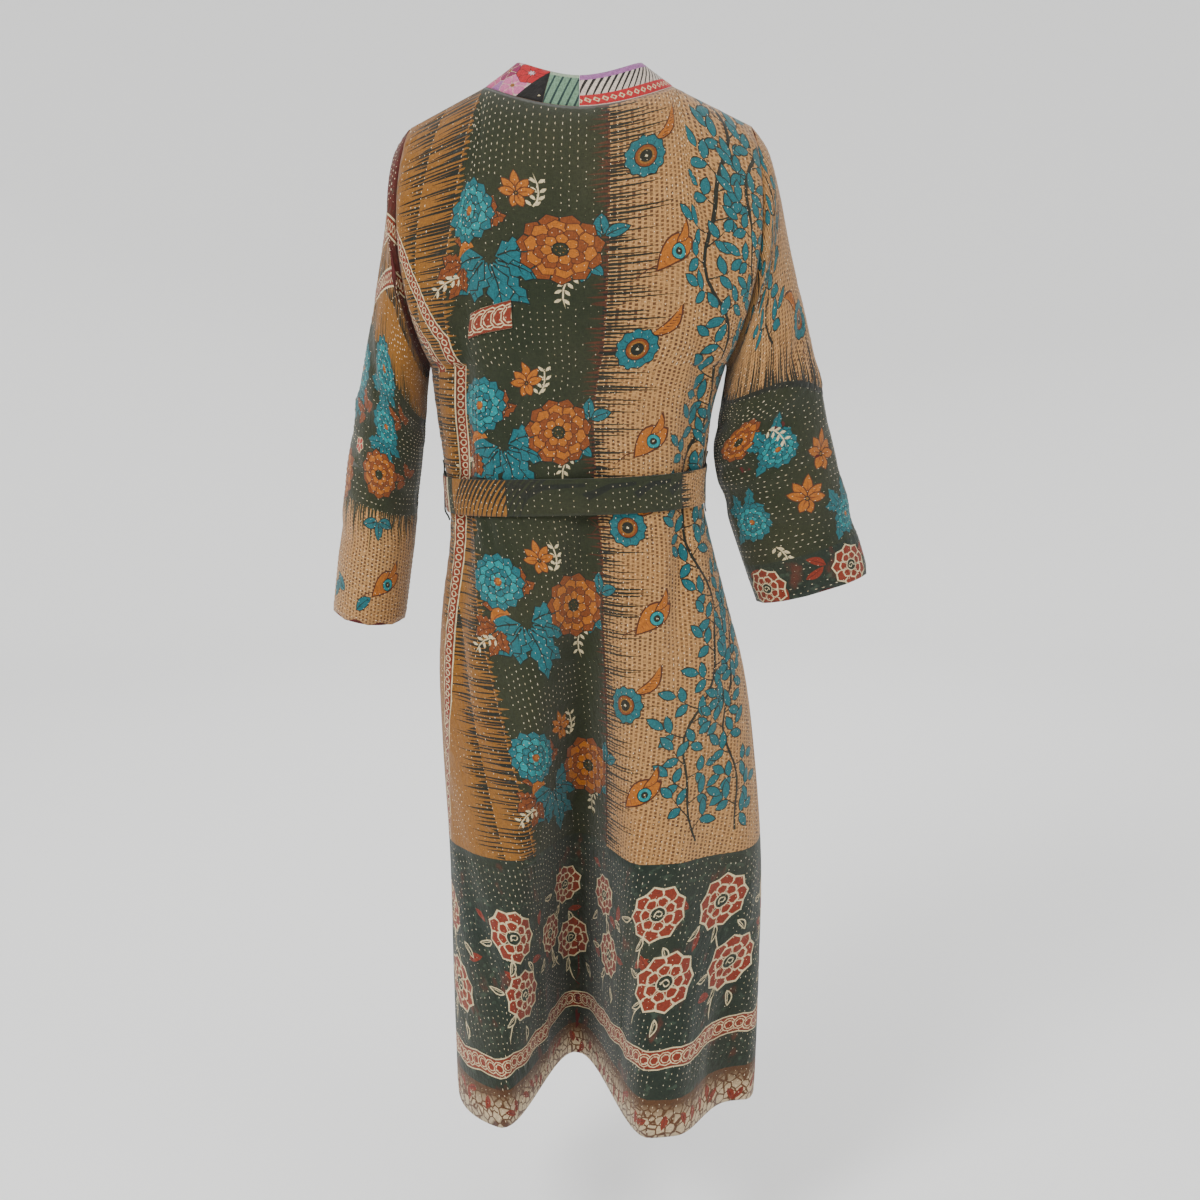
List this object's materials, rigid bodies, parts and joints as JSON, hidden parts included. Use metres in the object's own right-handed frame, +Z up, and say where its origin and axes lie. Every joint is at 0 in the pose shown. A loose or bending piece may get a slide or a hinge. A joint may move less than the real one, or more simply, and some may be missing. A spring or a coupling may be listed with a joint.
{
  "type": "kantha coat",
  "caption": "Long hand-stitched quilted cotton coat in its worn form, with lapped fronts, set sleeves, patched neckband, side belt loops and a tie belt.",
  "frame": {"origin": "between the shoulders at the base of the neck, where the wearer holds the coat up", "axes": "+Z up from hem to neck, -Y out of the coat's back, +X to the wearer's right"},
  "size_m": [0.6594, 0.3142, 1.2649],
  "materials": {
    "printed_body": "matte quilted cotton, printed",
    "printed_sleeve": "matte quilted cotton, printed",
    "band_floral": "matte quilted cotton, printed with flowers",
    "band_striped": "matte cotton, sage green with dark stripes",
    "band_bordered": "matte cotton, border print",
    "belt_print": "matte quilted cotton, dark green border print",
    "loop_cloth": "matte cotton tape",
    "patch_print": "matte cotton, chain border print"
  },
  "bodies": {
    "root": {"back_panel": "printed_body", "front_left": "printed_body", "front_right": "printed_body", "sleeve_left": "printed_sleeve", "sleeve_right": "printed_sleeve", "neckband_floral": "band_floral", "neckband_striped": "band_striped", "neckband_bordered": "band_bordered", "front_band_left": "band_floral", "front_band_right": "band_bordered", "belt": "belt_print", "belt_knot": "belt_print", "belt_end_left": "belt_print", "belt_end_right": "belt_print", "belt_loop_left": "loop_cloth", "belt_loop_right": "loop_cloth", "back_patch": "patch_print"}
  },
  "joints": []
}
